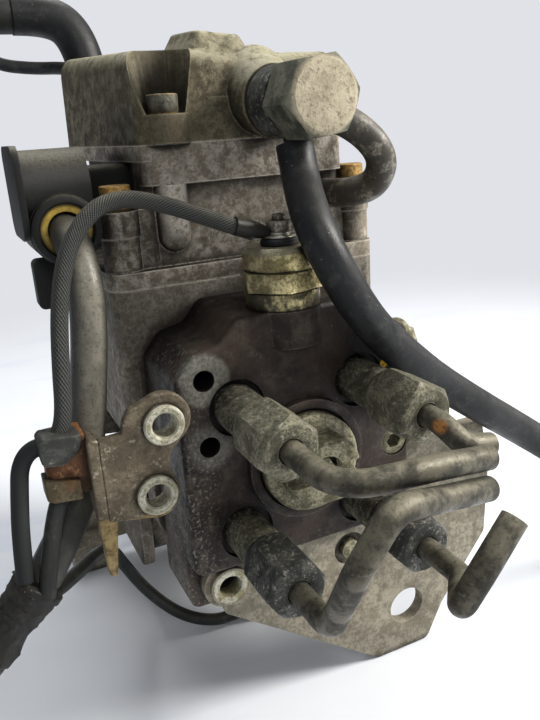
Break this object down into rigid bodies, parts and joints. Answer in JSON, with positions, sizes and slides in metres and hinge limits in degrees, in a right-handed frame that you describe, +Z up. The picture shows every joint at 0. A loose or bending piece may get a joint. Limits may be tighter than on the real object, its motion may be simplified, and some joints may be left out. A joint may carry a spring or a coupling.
{
  "type": "distributor injection pump",
  "caption": "Rotary distributor diesel injection pump with flanged drive end, electronic quantity adjuster, outlet unions with cut pipes, return hose and wiring harness",
  "frame": {"origin": "on the drive-shaft axis at the mounting-flange face, where the pilot begins", "axes": "+Y out along the drive shaft, +X right as the distributor head is faced, +Z up"},
  "size_m": [0.4444, 0.2843, 0.2605],
  "materials": {
    "housing_aluminium": "weathered cast, dusty",
    "cover_aluminium": "weathered cast, olive dust",
    "head_steel": "oxidised, dusty",
    "nut_steel": "worn zinc plating",
    "pipe_steel": "oxidised tube",
    "yellow_plated": "yellow passivated, worn",
    "screw_steel": "worn",
    "screw_brass": "dull",
    "inner_steel": "ground",
    "coil_body": "laminated core and winding",
    "plate_steel": "dusty sheet",
    "bracket_steel": "rusty sheet",
    "clamp_steel": "rusty strap with rubber lining",
    "hose_rubber": "dusty",
    "seal_rubber": "soft",
    "cable_sleeve": "dusty sleeve",
    "braid": "braided sleeve",
    "connector_plastic": "dusty"
  },
  "bodies": {
    "pump": {"adjuster_cover": "cover_aluminium", "adjuster_housing": "housing_aluminium", "adjuster_screws": "screw_brass", "adjuster_stator": "coil_body", "clamp_bracket": "bracket_steel", "connector": "connector_plastic", "connector_seal": "seal_rubber", "distributor_barrel": "inner_steel", "distributor_head": "head_steel", "drive_bracket": "plate_steel", "earth_lead": "cable_sleeve", "harness_clamp": "clamp_steel", "harness_plug": "connector_plastic", "harness_tail": "braid", "head_fasteners": "screw_steel", "head_plug": "nut_steel", "inlet_end": "connector_plastic", "inlet_fitting": "nut_steel", "inlet_hose": "hose_rubber", "leak_line": "hose_rubber", "main_cable": "cable_sleeve", "pipe_1": "pipe_steel", "pipe_2": "pipe_steel", "pipe_3": "pipe_steel", "pipe_4": "pipe_steel", "pump_housing": "housing_aluminium", "return_banjo": "nut_steel", "return_bolt": "nut_steel", "return_hose": "hose_rubber", "return_tube": "hose_rubber", "shaft_seal": "hose_rubber", "solenoid_lead": "cable_sleeve", "stop_solenoid": "yellow_plated", "stop_terminal": "screw_steel", "support_plate": "plate_steel", "timing_covers": "housing_aluminium", "timing_lead": "cable_sleeve", "timing_solenoid": "yellow_plated", "union_nut_1": "nut_steel", "union_nut_2": "nut_steel", "union_nut_3": "nut_steel", "union_nut_4": "nut_steel", "valve_holder_1": "nut_steel", "valve_holder_2": "nut_steel", "valve_holder_3": "nut_steel", "valve_holder_4": "nut_steel", "vane_ring": "inner_steel"},
    "shaft": {"drive_shaft": "inner_steel", "vane_rotor": "inner_steel", "cam_plate": "inner_steel", "plunger": "inner_steel"},
    "roller_ring": {"roller_ring": "inner_steel"},
    "timing_piston": {"timing_piston": "inner_steel"},
    "adjuster_rotor": {"adjuster_rotor": "inner_steel"},
    "control_collar": {"control_collar": "inner_steel"},
    "stop_plunger": {"stop_plunger": "inner_steel"},
    "delivery_valve_1": {"delivery_valve_1": "inner_steel"},
    "delivery_valve_2": {"delivery_valve_2": "inner_steel"},
    "delivery_valve_3": {"delivery_valve_3": "inner_steel"},
    "delivery_valve_4": {"delivery_valve_4": "inner_steel"}
  },
  "joints": [
    {"name": "shaft_turn", "type": "hinge", "parent": "pump", "child": "shaft", "pos_m": [0, 0, 0], "axis": [0, 1, 0], "continuous": true},
    {"name": "timing_advance", "type": "hinge", "parent": "pump", "child": "roller_ring", "pos_m": [0, -0.065, 0], "axis": [0, 1, 0], "range_deg": [0, 8.8]},
    {"name": "timing_slide", "type": "slide", "parent": "pump", "child": "timing_piston", "axis": [-1, 0, 0], "range_m": [0, 0.008]},
    {"name": "adjuster_turn", "type": "hinge", "parent": "pump", "child": "adjuster_rotor", "pos_m": [0, -0.099, 0], "axis": [0, 0, 1], "range_deg": [-28, 28]},
    {"name": "collar_slide", "type": "slide", "parent": "pump", "child": "control_collar", "axis": [0, 1, 0], "range_m": [-0.00195, 0.00195]},
    {"name": "stop_slide", "type": "slide", "parent": "pump", "child": "stop_plunger", "axis": [0, 0, 1], "range_m": [0, 0.002], "stiffness_N_per_m": 500, "springref_m": -0.002},
    {"name": "valve_1_slide", "type": "slide", "parent": "pump", "child": "delivery_valve_1", "axis": [0, -1, 0], "range_m": [0, 0.002], "stiffness_N_per_m": 800, "springref_m": -0.002},
    {"name": "valve_2_slide", "type": "slide", "parent": "pump", "child": "delivery_valve_2", "axis": [0, -1, 0], "range_m": [0, 0.002], "stiffness_N_per_m": 800, "springref_m": -0.002},
    {"name": "valve_3_slide", "type": "slide", "parent": "pump", "child": "delivery_valve_3", "axis": [0, -1, 0], "range_m": [0, 0.002], "stiffness_N_per_m": 800, "springref_m": -0.002},
    {"name": "valve_4_slide", "type": "slide", "parent": "pump", "child": "delivery_valve_4", "axis": [0, -1, 0], "range_m": [0, 0.002], "stiffness_N_per_m": 800, "springref_m": -0.002}
  ],
  "couplings": [
    {"joint": "timing_slide", "follows": "timing_advance", "m_per_rad": 0.052},
    {"joint": "adjuster_turn", "follows": "collar_slide", "rad_per_m": 250}
  ]
}
